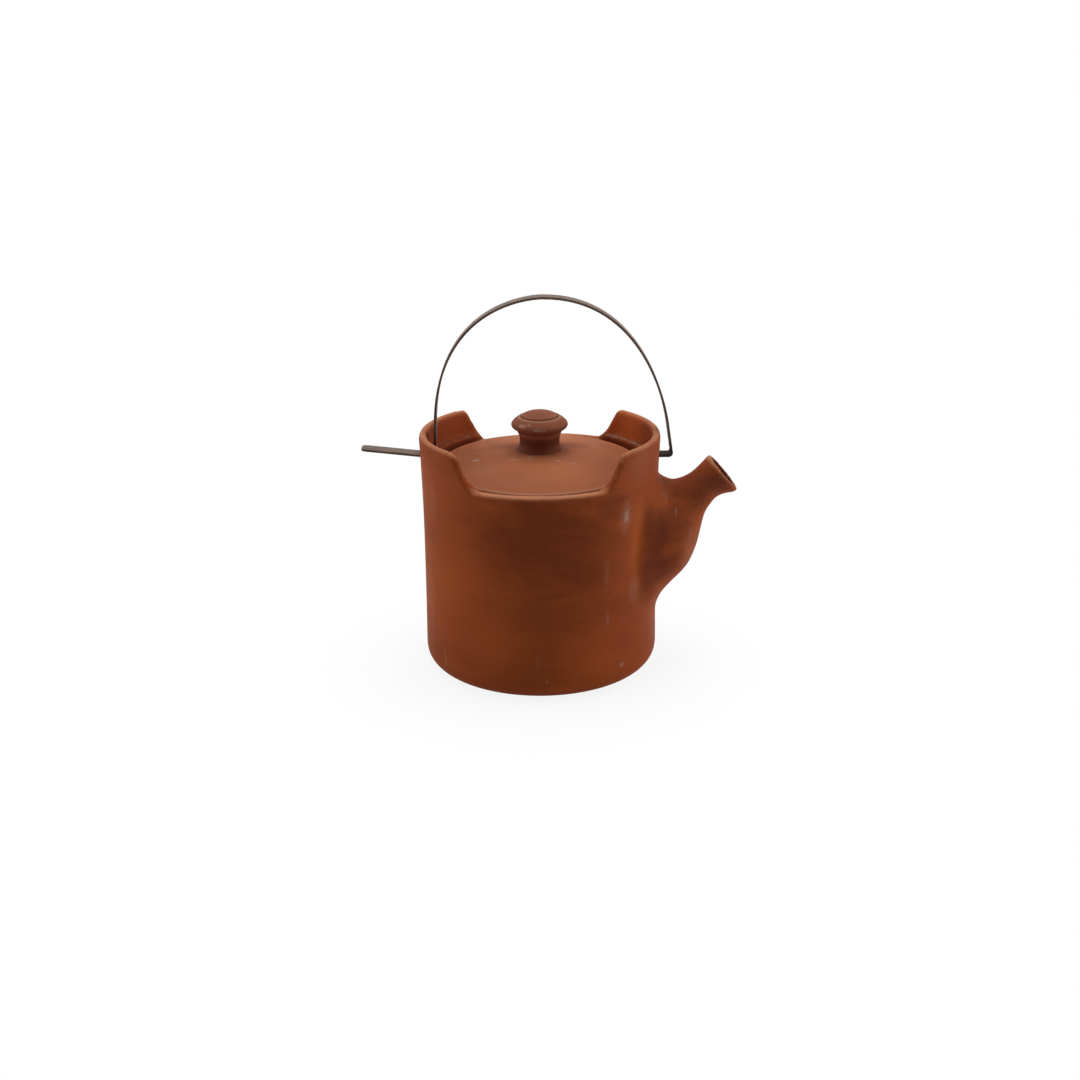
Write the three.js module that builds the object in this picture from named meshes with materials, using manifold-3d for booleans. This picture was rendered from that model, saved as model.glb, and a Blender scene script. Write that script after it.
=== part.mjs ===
// A terracotta teapot: a straight thrown pot with two raised lugs, a bulbous spout luted to its wall,
// a lift-off lid with a thrown knob, and a bail handle bent from one flat metal strip.
// Millimetres, +Z up, origin at the centre of the base. The spout points along +X.

import * as THREE from 'three';
import { mergeVertices } from 'three/addons/utils/BufferGeometryUtils.js';
import Module from 'manifold-3d';

const wasm = await Module();
wasm.setup();

// Pot: a nearly straight wall with a slight waist, opening towards the lug tops
const LUG_HEIGHT = 130.6;
const LUG_RADIUS = 65;
const WAIST_DRAWN_IN = 1.3;
const FOOT_DRAWN_IN = 0.6;
const WAIST_HEIGHT_SHARE = 0.57;
const BODY_WALL = 6.2;
const FLOOR_THICKNESS = 7;
const BASE_ROUND = 10;
const FLOOR_ROUND = 9;

// Rim: two notches, front and back, leave the two lugs that carry the handle
const NOTCH_DEPTH = 18;
const NOTCH_TOP_HALF_DEGREES = 43.3;
const NOTCH_FLOOR_HALF_DEGREES = 33.4;
const NOTCH_TURN_DEGREES = -1.3;
const NOTCH_TOP_CORNER = 3.4;
const NOTCH_FLOOR_CORNER = 4.6;
const RIM_WALL = 7;
const LUG_WALL = 4.6;
const LIP_DEPTH = 2.3;

// Gallery: the shelf where the thick rim gives way to the thin lugs, and the seat below it for the lid
const SHELF_ABOVE_RIM = 3.1;
const SHELF_EDGE = 0.35;
const SEAT_BELOW_RIM = 4.1;
const SEAT_LAP = 4.6;
const SEAT_THICKNESS = 4.2;
const SEAT_EDGE = 1;
const SEAT_TAPER = 7;

// Lid: a low dome with a locating flange below
const LID_CLEARANCE = 3.3;
const LID_EDGE = 5;
const LID_EDGE_ROUND = 1.3;
const LID_EDGE_ROUND_DEGREES = 75;
const LID_RISE = 8;
const FLANGE_CLEARANCE = 1.3;
const FLANGE_DEPTH = 4.5;
const FLANGE_WALL = 4;
const FLANGE_ROUND = 1;

// Knob: a flared neck, a collar line and a mushroom cap with an incised ring
const KNOB_RADIUS = 15.3;
const KNOB_FOOT_RADIUS = 14;
const KNOB_HEIGHT = 20.6;
const KNOB_PROFILE_SHARES = [
  [1, 0], [0.93, 0.014], [0.83, 0.06], [0.76, 0.14], [0.737, 0.25],
  [0.755, 0.33], [0.835, 0.385], [0.85, 0.44], [0.845, 0.475], [0.93, 0.52], [1.045, 0.575],
];
const KNOB_CAP_SHARES = [
  [1, 0.635], [0.975, 0.7], [0.91, 0.765], [0.82, 0.825], [0.7, 0.865],
  [0.655, 0.845], [0.61, 0.885], [0.47, 0.945], [0.26, 0.985],
];

// Spout: a wide bulb narrowing to a short neck and a flared mouth. Each row of shares gives the upper and
// lower edge of one cross-section, along the reach from the wall and up the height of the join, and how
// square the section's upper half is. The sections near the root wrap round the pot's wall.
const SPOUT_REACH = 42.8;
const SPOUT_JOIN_LOW = 33;
const SPOUT_JOIN_HEIGHT = 72;
const SPOUT_SHARES = [
  [-0.04, 1.04, -0.04, -0.05, 2.6],
  [0.02, 1.01, 0.01, 0, 2.6],
  [0.055, 0.98, 0.075, 0.085, 2.6],
  [0.105, 0.964, 0.2, 0.17, 2.5],
  [0.187, 0.949, 0.397, 0.294, 2.3],
  [0.241, 0.957, 0.512, 0.447, 2.1],
  [0.311, 0.972, 0.57, 0.592, 2],
  [0.383, 0.994, 0.612, 0.697, 2],
  [0.456, 1.025, 0.673, 0.765, 2],
  [0.523, 1.064, 0.762, 0.831, 2],
  [0.586, 1.105, 0.877, 0.861, 2],
  [0.645, 1.138, 0.988, 0.885, 2],
];
const SPOUT_WRAP_POWER_SHARE = 3;
const SPOUT_BASE_WALL = 5;
const SPOUT_LIP_WALL = 2.7;
const SPOUT_LIP_ROUND = 0.9;
const SPOUT_SEAT_GAP = 0.3;

// Strainer: a ring of holes round one, through the wall behind the spout
const STRAINER_HOLE_RADIUS = 3;
const STRAINER_PITCH = 13;
const STRAINER_RING_HOLES = 6;

// Bail: one flat strip. Its left foot is inside the left lug and its tail runs out through the lug's hole;
// its right foot is outside the right lug and its stub runs in.
const STRIP_WIDTH = 9.5;
const STRIP_THICKNESS = 0.8;
const STRIP_BEND = 2.2;
const PIVOT_ABOVE_RIM = 4.6;
const PIVOT_HOLE_RADIUS = 5.7;
const LEFT_FOOT_LID_GAP = 2;
const RIGHT_FOOT_STANDOFF = 6.9;
const STUB_INSIDE = 3.5;
const STUB_BELOW_PIVOT = 0.3;
const TAIL_LENGTH = 39.7;
const TAIL_RISE_DEGREES = 6.3;
const TAIL_ABOVE_PIVOT = 0.9;
const TAIL_CORNER = 3;
const ARCH_HEIGHT = 85.8;
const ARCH_TOP_SHARE = 0.454;
const LEFT_SPRING_HEIGHT = 19.2;
const LEFT_LEAN_DEGREES = 2.1;
const RIGHT_SPRING_HEIGHT = 20.1;
const RIGHT_LEAN_DEGREES = 9.8;
const LEFT_ARCH_SHARES = { rise: 0.9, run: 0.2 };
const RIGHT_ARCH_SHARES = { rise: 0.27, run: 0.74 };

// How far every cutter passes the surface that it cuts
const CUT_OVERRUN = 2;

// Facets
const LATHE_SEGMENTS = 72;
const KNOB_SEGMENTS = 40;
const LIP_STEPS = 6;
const ROUND_STEPS = 4;
const SPOUT_POINTS = 32;
const SPOUT_STEPS = 18;
const HOLE_SIDES = 24;
const STRAINER_SIDES = 14;

// Sizes that follow from the driving ones
const WAIST_HEIGHT = LUG_HEIGHT * WAIST_HEIGHT_SHARE;
const WAIST_RADIUS = LUG_RADIUS - WAIST_DRAWN_IN;
const RIM_HEIGHT = LUG_HEIGHT - NOTCH_DEPTH;
const SHELF_HEIGHT = RIM_HEIGHT + SHELF_ABOVE_RIM;
const SEAT_HEIGHT = RIM_HEIGHT - SEAT_BELOW_RIM;
const GALLERY_RADIUS = outerRadius(RIM_HEIGHT) - RIM_WALL;
const LID_RADIUS = GALLERY_RADIUS - LID_CLEARANCE;
const SEAT_RADIUS = LID_RADIUS - SEAT_LAP;
const BODY_INNER_RADIUS = WAIST_RADIUS - BODY_WALL;
const LID_EDGE_HEIGHT = SEAT_HEIGHT + LID_EDGE;
const LID_DOME_RADIUS = (LID_RADIUS ** 2 + LID_RISE ** 2) / (2 * LID_RISE);
const KNOB_SEAT_HEIGHT = lidTop(KNOB_FOOT_RADIUS);
const PIVOT_HEIGHT = RIM_HEIGHT + PIVOT_ABOVE_RIM;
const SPOUT_MIDDLE = SPOUT_JOIN_LOW + SPOUT_JOIN_HEIGHT / 2;

function outerRadius(z) {
  if (z > WAIST_HEIGHT) {
    const share = (z - WAIST_HEIGHT) / (LUG_HEIGHT - WAIST_HEIGHT);
    return WAIST_RADIUS + WAIST_DRAWN_IN * share ** 2;
  }
  const share = (WAIST_HEIGHT - z) / WAIST_HEIGHT;
  return WAIST_RADIUS + (WAIST_DRAWN_IN - FOOT_DRAWN_IN) * share ** 2;
}

// Inside of the wall above the seat: thick at the rim, and thin in the lugs above the shelf
function innerRadius(z) {
  const lug = THREE.MathUtils.smoothstep(z, SHELF_HEIGHT - SHELF_EDGE, SHELF_HEIGHT + SHELF_EDGE);
  return THREE.MathUtils.lerp(GALLERY_RADIUS, outerRadius(z) - LUG_WALL, lug);
}

function lidTop(radius) {
  const centre = LID_EDGE_HEIGHT + LID_RISE - LID_DOME_RADIUS;
  return centre + Math.sqrt(LID_DOME_RADIUS ** 2 - radius ** 2);
}

// A closed skin over rings of equally many points. Each ring runs counter-clockwise about the direction in
// which the rings follow one another, and a fan of faces closes the first and the last.
function skin(rings, firstApex, lastApex) {
  const count = rings[0].length;
  const points = [firstApex, ...rings.flat(), lastApex];
  const lastRing = 1 + (rings.length - 1) * count;
  const faces = [];
  for (let i = 0; i < count; i += 1) {
    const next = (i + 1) % count;
    faces.push(0, 1 + next, 1 + i);
    for (let start = 1; start < lastRing; start += count) {
      const [a, b] = [start + i, start + next];
      faces.push(a, b, b + count, a, b + count, a + count);
    }
    faces.push(lastRing + i, lastRing + next, points.length - 1);
  }
  const geometry = new THREE.BufferGeometry().setFromPoints(points);
  geometry.setIndex(faces);
  return geometry;
}

function toSolid(geometry) {
  const bare = geometry.clone();
  bare.deleteAttribute('normal');
  bare.deleteAttribute('uv');
  const merged = mergeVertices(bare);
  return new wasm.Manifold(new wasm.Mesh({
    numProp: 3,
    vertProperties: new Float32Array(merged.attributes.position.array),
    triVerts: new Uint32Array(merged.index.array),
  }));
}

function toGeometry(solid) {
  const mesh = solid.getMesh();
  const geometry = new THREE.BufferGeometry();
  geometry.setAttribute('position', new THREE.BufferAttribute(new Float32Array(mesh.vertProperties), 3));
  geometry.setIndex(new THREE.BufferAttribute(new Uint32Array(mesh.triVerts), 1));
  return geometry;
}

// A turned solid from (radius, height) points that run from the bottom of the axis to its top
function turned(profile, segments) {
  const points = profile.map(([radius, height]) => new THREE.Vector2(radius, height));
  return new THREE.LatheGeometry(points, segments).rotateX(Math.PI / 2);
}

// A quarter circle of (radius, height) points about a centre, from one angle to another in degrees
function quarter(centreRadius, centreHeight, round, from, to) {
  const points = [];
  for (let step = 0; step <= ROUND_STEPS; step += 1) {
    const angle = THREE.MathUtils.degToRad(THREE.MathUtils.lerp(from, to, step / ROUND_STEPS));
    points.push([centreRadius + round * Math.cos(angle), centreHeight + round * Math.sin(angle)]);
  }
  return points;
}

// A hole cutter along X, through the wall on the side that the sign names
function wallCutter(side, y, z, radius, sides) {
  const outside = outerRadius(z) + CUT_OVERRUN;
  const inside = SEAT_RADIUS - CUT_OVERRUN;
  const cutter = new THREE.CylinderGeometry(radius, radius, outside - inside, sides);
  cutter.rotateZ(Math.PI / 2);
  cutter.translate(side * (outside + inside) / 2, y, z);
  return toSolid(cutter);
}

// The rim's outline on the unrolled wall, from the middle of one notch to the middle of the next:
// notch floor, slope, lug top, slope and floor, with eased corners
function rimStations() {
  const arc = (degrees) => outerRadius(RIM_HEIGHT) * THREE.MathUtils.degToRad(degrees);
  const halfTurn = arc(180);
  const floorEnd = new THREE.Vector2(arc(NOTCH_FLOOR_HALF_DEGREES), RIM_HEIGHT);
  const lugStart = new THREE.Vector2(arc(NOTCH_TOP_HALF_DEGREES), LUG_HEIGHT);
  const corners = [
    new THREE.Vector2(0, RIM_HEIGHT),
    floorEnd,
    lugStart,
    new THREE.Vector2(halfTurn - lugStart.x, LUG_HEIGHT),
    new THREE.Vector2(halfTurn - floorEnd.x, RIM_HEIGHT),
    new THREE.Vector2(halfTurn, RIM_HEIGHT),
  ];
  const cuts = [0, NOTCH_FLOOR_CORNER, NOTCH_TOP_CORNER, NOTCH_TOP_CORNER, NOTCH_FLOOR_CORNER, 0];
  const straightSteps = [7, 2, 18, 2, 7];
  const cornerSteps = 4;
  const stations = [];
  const sample = (curve, steps) => {
    for (let step = 0; step < steps; step += 1) {
      const tangent = curve.getTangent(step / steps);
      stations.push({ at: curve.getPoint(step / steps), out: new THREE.Vector2(-tangent.y, tangent.x) });
    }
  };
  const towards = (from, to, distance) => from.clone().addScaledVector(
    to.clone().sub(from).normalize(), distance);
  for (let i = 0; i < straightSteps.length; i += 1) {
    const start = towards(corners[i], corners[i + 1], cuts[i]);
    const end = towards(corners[i + 1], corners[i], cuts[i + 1]);
    sample(new THREE.LineCurve(start, end), straightSteps[i]);
    if (i + 2 < corners.length) {
      const leave = towards(corners[i + 1], corners[i + 2], cuts[i + 1]);
      sample(new THREE.QuadraticBezierCurve(end, corners[i + 1], leave), cornerSteps);
    }
  }
  return stations;
}

// The pot as rings of points, one for each column of the rim's outline: base, outside, round the lip,
// down the gallery, over the seat and down to the floor
function potBody() {
  const wallRadius = outerRadius(RIM_HEIGHT);
  const half = rimStations();
  const columns = [0, 1].flatMap((turn) => half.map(({ at, out }) => ({
    angle: THREE.MathUtils.degToRad(NOTCH_TURN_DEGREES - 90 + 180 * turn) + at.x / wallRadius, at, out,
  })));
  const place = (radius, angle, z) => new THREE.Vector3(
    radius * Math.cos(angle), radius * Math.sin(angle), z);
  const levelRing = ([radius, z]) => columns.map(({ angle }) => place(radius, angle, z));

  const footRadius = outerRadius(BASE_ROUND);
  const outside = quarter(footRadius - BASE_ROUND, BASE_ROUND, BASE_ROUND, -90, 0);
  for (const share of [0.3, 0.55, 0.8, 1]) {
    const z = THREE.MathUtils.lerp(BASE_ROUND, SEAT_HEIGHT - SEAT_THICKNESS, share);
    outside.push([outerRadius(z), z]);
  }

  const lip = [];
  for (let step = 0; step <= LIP_STEPS; step += 1) {
    const turn = Math.PI * (step / LIP_STEPS - 0.5);
    const depth = LIP_DEPTH * (1 - Math.cos(turn));
    lip.push(columns.map(({ angle, at, out }) => {
      const z = at.y - out.y * depth;
      const [outer, inner] = [outerRadius(z), innerRadius(z)];
      const radius = (outer + inner) / 2 - (outer - inner) / 2 * Math.sin(turn);
      return place(radius, angle - out.x * depth / wallRadius, z);
    }));
  }

  // A column under a notch has less height than the shelf needs, so its points share what there is
  const gallery = [[SHELF_HEIGHT + SHELF_EDGE, 0.75], [SHELF_HEIGHT - SHELF_EDGE, 0.5]].map(
    ([height, share]) => columns.map(({ angle, at, out }) => {
      const lipEnd = at.y - out.y * LIP_DEPTH;
      const z = Math.min(height, THREE.MathUtils.lerp(SEAT_HEIGHT, lipEnd, share));
      return place(innerRadius(z), angle, z);
    }));

  const seatBottom = SEAT_HEIGHT - SEAT_THICKNESS;
  const inside = [
    [GALLERY_RADIUS, SEAT_HEIGHT],
    [SEAT_RADIUS + SEAT_EDGE, SEAT_HEIGHT],
    [SEAT_RADIUS, SEAT_HEIGHT - SEAT_EDGE],
    [SEAT_RADIUS, seatBottom + SEAT_EDGE],
    [BODY_INNER_RADIUS, seatBottom - SEAT_TAPER],
    ...quarter(BODY_INNER_RADIUS - FLOOR_ROUND, FLOOR_THICKNESS + FLOOR_ROUND, FLOOR_ROUND, 0, -90),
  ];

  const rings = [...outside.map(levelRing), ...lip, ...gallery, ...inside.map(levelRing)];
  const base = new THREE.Vector3(0, 0, 0);
  const floor = new THREE.Vector3(0, 0, FLOOR_THICKNESS);
  let pot = toSolid(skin(rings, base, floor));
  for (const side of [-1, 1]) {
    pot = pot.subtract(wallCutter(side, 0, PIVOT_HEIGHT, PIVOT_HOLE_RADIUS, HOLE_SIDES));
  }
  for (const [y, z] of strainerPlaces()) {
    pot = pot.subtract(wallCutter(1, y, z, STRAINER_HOLE_RADIUS, STRAINER_SIDES));
  }
  return toGeometry(pot);
}

function strainerPlaces() {
  const places = [[0, SPOUT_MIDDLE]];
  for (let i = 0; i < STRAINER_RING_HOLES; i += 1) {
    const angle = 2 * Math.PI * i / STRAINER_RING_HOLES;
    places.push([STRAINER_PITCH * Math.cos(angle), SPOUT_MIDDLE + STRAINER_PITCH * Math.sin(angle)]);
  }
  return places;
}

// The spout's cross-sections, each with its middle, its half height as a vector and its squareness
function spoutSections() {
  const place = (reachShare, heightShare) => new THREE.Vector3(
    WAIST_RADIUS + SPOUT_REACH * reachShare, 0, SPOUT_JOIN_LOW + SPOUT_JOIN_HEIGHT * heightShare);
  const upper = new THREE.CatmullRomCurve3(SPOUT_SHARES.map(([x, z]) => place(x, z)));
  const lower = new THREE.CatmullRomCurve3(SPOUT_SHARES.map((row) => place(row[2], row[3])));
  const sections = [];
  for (let step = 0; step <= SPOUT_STEPS; step += 1) {
    const share = step / SPOUT_STEPS;
    const [top, bottom] = [upper.getPoint(share), lower.getPoint(share)];
    const row = share * (SPOUT_SHARES.length - 1);
    const before = SPOUT_SHARES[Math.floor(row)][4];
    const after = SPOUT_SHARES[Math.ceil(row)][4];
    sections.push({
      share,
      middle: top.clone().add(bottom).divideScalar(2),
      rise: top.clone().sub(bottom).divideScalar(2),
      squareness: THREE.MathUtils.lerp(before, after, row % 1),
    });
  }
  return sections;
}

// One ring of a cross-section, drawn in by the given wall and moved out along the section's normal
function spoutRing({ share, middle, rise, squareness }, wall, outward) {
  const up = rise.clone().normalize();
  const across = new THREE.Vector3(0, 1, 0);
  const normal = across.clone().cross(up);
  const radius = rise.length() - wall;
  const ring = [];
  for (let i = 0; i < SPOUT_POINTS; i += 1) {
    const angle = 2 * Math.PI * i / SPOUT_POINTS;
    const power = 2 / (Math.sin(angle) > 0 ? squareness : 2);
    const [c, s] = [Math.cos(angle), Math.sin(angle)];
    const point = middle.clone()
      .addScaledVector(across, radius * Math.sign(c) * Math.abs(c) ** power)
      .addScaledVector(up, radius * Math.sign(s) * Math.abs(s) ** power)
      .addScaledVector(normal, outward);
    const fallBack = WAIST_RADIUS - Math.sqrt(WAIST_RADIUS ** 2 - point.y ** 2);
    point.x -= fallBack * (1 - share) ** SPOUT_WRAP_POWER_SHARE;
    ring.push(point);
  }
  return ring;
}

// A vector from a section's middle along its normal, for the end caps of the lofts
function spoutAxisPoint({ middle, rise }, outward) {
  const normal = new THREE.Vector3(0, 1, 0).cross(rise.clone().normalize());
  return middle.clone().addScaledVector(normal, outward);
}

function spout() {
  const sections = spoutSections();
  const [root, mouth] = [sections[0], sections.at(-1)];
  const outer = sections.map((section) => spoutRing(section, 0, 0));
  outer.push(spoutRing(mouth, SPOUT_LIP_ROUND / 3, SPOUT_LIP_ROUND * 2 / 3));
  outer.push(spoutRing(mouth, SPOUT_LIP_ROUND, SPOUT_LIP_ROUND));
  const shell = toSolid(skin(outer, spoutAxisPoint(root, 0), spoutAxisPoint(mouth, SPOUT_LIP_ROUND)));

  const channel = sections.map((section) => {
    const wall = THREE.MathUtils.lerp(SPOUT_BASE_WALL, SPOUT_LIP_WALL, section.share);
    return spoutRing(section, wall, 0);
  });
  channel.unshift(spoutRing(root, SPOUT_BASE_WALL, -CUT_OVERRUN));
  channel.push(spoutRing(mouth, SPOUT_LIP_WALL - SPOUT_LIP_ROUND, CUT_OVERRUN));
  const bore = toSolid(skin(channel, spoutAxisPoint(root, -CUT_OVERRUN), spoutAxisPoint(mouth, CUT_OVERRUN)));

  // The base is cut to the pot's round wall, with the slip joint's thickness between them
  const wallProfile = [[0, 0]];
  for (const share of [0, 0.15, 0.3, 0.45, 0.6, 0.75, 0.9, 1]) {
    const z = LUG_HEIGHT * share;
    wallProfile.push([outerRadius(z) + SPOUT_SEAT_GAP, z]);
  }
  wallProfile.push([0, LUG_HEIGHT]);
  const pot = toSolid(turned(wallProfile, 2 * LATHE_SEGMENTS));
  return toGeometry(shell.subtract(bore).subtract(pot));
}

function lid() {
  const flangeRadius = SEAT_RADIUS - FLANGE_CLEARANCE;
  const flangeInside = flangeRadius - FLANGE_WALL;
  const flangeBottom = SEAT_HEIGHT - FLANGE_DEPTH;
  const underside = (radius) => lidTop(radius) - LID_EDGE;
  const domeShares = [0.93, 0.8, 0.62, 0.43];
  const profile = [
    [0, underside(0)],
    [flangeInside / 2, underside(flangeInside / 2)],
    [flangeInside, underside(flangeInside)],
    [flangeInside, flangeBottom + FLANGE_ROUND],
    [flangeInside + FLANGE_ROUND, flangeBottom],
    [flangeRadius - FLANGE_ROUND, flangeBottom],
    [flangeRadius, flangeBottom + FLANGE_ROUND],
    [flangeRadius, SEAT_HEIGHT],
    [LID_RADIUS - LID_EDGE_ROUND, SEAT_HEIGHT],
    [LID_RADIUS, SEAT_HEIGHT + LID_EDGE_ROUND],
    ...quarter(
      LID_RADIUS - LID_EDGE_ROUND, LID_EDGE_HEIGHT - LID_EDGE_ROUND, LID_EDGE_ROUND,
      0, LID_EDGE_ROUND_DEGREES),
    ...domeShares.map((share) => [LID_RADIUS * share, lidTop(LID_RADIUS * share)]),
    [KNOB_FOOT_RADIUS, KNOB_SEAT_HEIGHT],
    [0, KNOB_SEAT_HEIGHT],
  ];
  return turned(profile, LATHE_SEGMENTS);
}

// The neck's shares are of the foot radius and the cap's of the knob radius
function lidKnob() {
  const profile = [
    [0, 0],
    ...KNOB_PROFILE_SHARES.map(([across, up]) => [KNOB_FOOT_RADIUS * across, KNOB_HEIGHT * up]),
    ...KNOB_CAP_SHARES.map(([across, up]) => [KNOB_RADIUS * across, KNOB_HEIGHT * up]),
    [0, KNOB_HEIGHT],
  ];
  return turned(profile, KNOB_SEGMENTS);
}

// The strip's centre line in the XZ plane, from the stub's inner end over the arch to the tail's end
function bailStations() {
  const at = (x, z) => new THREE.Vector3(x, 0, z);
  const radians = THREE.MathUtils.degToRad;
  const lugInside = innerRadius(PIVOT_HEIGHT);
  const stubHeight = PIVOT_HEIGHT - STUB_BELOW_PIVOT;
  const rightFoot = at(outerRadius(PIVOT_HEIGHT) + RIGHT_FOOT_STANDOFF, stubHeight);
  const leftFootX = -(LID_RADIUS + LEFT_FOOT_LID_GAP + STRIP_THICKNESS / 2);
  // The tail rises outwards and crosses the middle of the lug's wall a little above the pivot
  const wallMiddle = -(outerRadius(PIVOT_HEIGHT) + lugInside) / 2;
  const tailSlope = Math.tan(radians(TAIL_RISE_DEGREES));
  const leftFoot = at(
    leftFootX, PIVOT_HEIGHT + TAIL_ABOVE_PIVOT - (leftFootX - wallMiddle) * tailSlope);
  const tailEnd = at(leftFoot.x - TAIL_LENGTH, leftFoot.z + TAIL_LENGTH * tailSlope);
  const rightSpring = at(
    rightFoot.x - RIGHT_SPRING_HEIGHT * Math.tan(radians(RIGHT_LEAN_DEGREES)),
    PIVOT_HEIGHT + RIGHT_SPRING_HEIGHT);
  const leftSpring = at(
    leftFoot.x + LEFT_SPRING_HEIGHT * Math.tan(radians(LEFT_LEAN_DEGREES)),
    PIVOT_HEIGHT + LEFT_SPRING_HEIGHT);
  const top = at(
    THREE.MathUtils.lerp(leftFoot.x, rightFoot.x, ARCH_TOP_SHARE), PIVOT_HEIGHT + ARCH_HEIGHT);

  const handle = (spring, foot, { rise, run }) => {
    const up = spring.clone().sub(foot).normalize();
    return [
      spring.clone().addScaledVector(up, rise * (top.z - spring.z)),
      at(THREE.MathUtils.lerp(top.x, spring.x, run), top.z),
    ];
  };
  const [rightLow, rightHigh] = handle(rightSpring, rightFoot, RIGHT_ARCH_SHARES);
  const [leftLow, leftHigh] = handle(leftSpring, leftFoot, LEFT_ARCH_SHARES);

  const towards = (from, to) => from.clone().addScaledVector(to.clone().sub(from).normalize(), STRIP_BEND);
  const stubEnd = at(lugInside - STUB_INSIDE, stubHeight);
  const tailRound = towards(tailEnd, leftFoot).sub(tailEnd).multiplyScalar(TAIL_CORNER / STRIP_BEND);
  const tailStart = tailEnd.clone().add(tailRound);
  const pieces = [
    [new THREE.LineCurve3(stubEnd, towards(rightFoot, stubEnd)), 2],
    [new THREE.QuadraticBezierCurve3(towards(rightFoot, stubEnd), rightFoot, towards(rightFoot, rightSpring)), 6],
    [new THREE.LineCurve3(towards(rightFoot, rightSpring), rightSpring), 3],
    [new THREE.CubicBezierCurve3(rightSpring, rightLow, rightHigh, top), 20],
    [new THREE.CubicBezierCurve3(top, leftHigh, leftLow, leftSpring), 20],
    [new THREE.LineCurve3(leftSpring, towards(leftFoot, leftSpring)), 3],
    [new THREE.QuadraticBezierCurve3(towards(leftFoot, leftSpring), leftFoot, towards(leftFoot, tailEnd)), 6],
    [new THREE.LineCurve3(towards(leftFoot, tailEnd), tailStart), 5],
    [new THREE.LineCurve3(tailStart, tailEnd), 6],
  ];
  const stations = pieces.flatMap(([curve, steps]) => {
    const places = Array.from({ length: steps }, (_, step) => step / steps);
    return places.map((share) => ({ at: curve.getPoint(share), along: curve.getTangent(share) }));
  });
  const lastPiece = pieces.at(-1)[0];
  stations.push({ at: tailEnd, along: lastPiece.getTangent(1) });
  return { stations, tailEnd };
}

// Half the strip's width, which the tail's rounded corners reduce over its last stretch
function stripHalfWidth(distanceToEnd) {
  const into = Math.max(0, TAIL_CORNER - distanceToEnd);
  return STRIP_WIDTH / 2 - TAIL_CORNER + Math.sqrt(TAIL_CORNER ** 2 - into ** 2);
}

function bailHandle() {
  const { stations, tailEnd } = bailStations();
  const across = new THREE.Vector3(0, 1, 0);
  const signs = [[1, 1], [-1, 1], [-1, -1], [1, -1]];
  const rings = stations.map(({ at, along }) => {
    const normal = along.clone().cross(across);
    const halfWidth = stripHalfWidth(at.distanceTo(tailEnd));
    return signs.map(([side, face]) => at.clone()
      .addScaledVector(across, side * halfWidth)
      .addScaledVector(normal, face * STRIP_THICKNESS / 2));
  });
  return skin(rings, stations[0].at, tailEnd);
}

const terracotta = new THREE.MeshStandardMaterial({ color: 0x9a5a3c, roughness: 0.82, metalness: 0 });
const palerTerracotta = new THREE.MeshStandardMaterial({ color: 0xa5684a, roughness: 0.8, metalness: 0 });
const brownSteel = new THREE.MeshStandardMaterial({ color: 0x5a4636, roughness: 0.5, metalness: 0.85 });

function piece(name, geometry, material) {
  const mesh = new THREE.Mesh(geometry, material);
  mesh.name = name;
  return mesh;
}

const potGroup = new THREE.Group();
potGroup.add(piece('pot_body', potBody(), terracotta));
potGroup.add(piece('spout', spout(), terracotta));

const lidGroup = new THREE.Group();
lidGroup.add(piece('lid', lid(), palerTerracotta));
const knob = piece('lid_knob', lidKnob(), terracotta);
knob.position.z = KNOB_SEAT_HEIGHT;
lidGroup.add(knob);

const teapot = new THREE.Group();
teapot.add(potGroup, lidGroup, piece('bail_handle', bailHandle(), brownSteel));

export default teapot;
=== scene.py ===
# %% [markdown]
# # A clay teapot
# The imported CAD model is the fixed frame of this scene: it says where every piece is and how it moves.
# This file dresses it. It models the pot with its spout, the lid, the knob and the metal handle again with
# the soft edges and small flaws of the real ones, gives them clay and metal, and sets camera and light.

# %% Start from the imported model
import math

import bmesh
import bpy
from mathutils import Matrix, Vector
from mathutils.geometry import interpolate_bezier


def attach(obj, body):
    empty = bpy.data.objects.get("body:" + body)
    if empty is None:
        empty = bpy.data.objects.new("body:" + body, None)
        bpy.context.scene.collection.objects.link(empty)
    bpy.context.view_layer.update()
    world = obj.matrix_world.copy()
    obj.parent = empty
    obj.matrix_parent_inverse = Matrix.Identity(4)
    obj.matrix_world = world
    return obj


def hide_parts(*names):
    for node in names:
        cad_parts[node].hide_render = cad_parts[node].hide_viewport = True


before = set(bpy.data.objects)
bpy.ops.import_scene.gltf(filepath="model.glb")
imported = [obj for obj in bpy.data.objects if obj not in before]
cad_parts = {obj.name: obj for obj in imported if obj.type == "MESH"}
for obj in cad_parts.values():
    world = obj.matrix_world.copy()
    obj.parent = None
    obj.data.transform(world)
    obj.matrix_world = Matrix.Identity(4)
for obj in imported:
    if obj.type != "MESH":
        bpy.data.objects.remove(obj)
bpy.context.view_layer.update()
MM = 0.001

# %% [markdown]
# ## Camera
# The photograph looks along +Y and down onto the lid. A camera can be placed by eye, but here its place was
# worked out from the pot's round rim and base, whose ellipses tell how high it stood and how long its lens
# was. A long lens from three quarters of a metre keeps the pot's sides nearly upright.

# %% Set up the camera
CAMERA_PLACE = (-0.245 * MM, -742.26 * MM, 329.39 * MM)
CAMERA_DOWN = math.radians(19.4013)
CAMERA_ROLL = -0.00798
SENSOR_WIDTH = 36
LENS = 47.47

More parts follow.
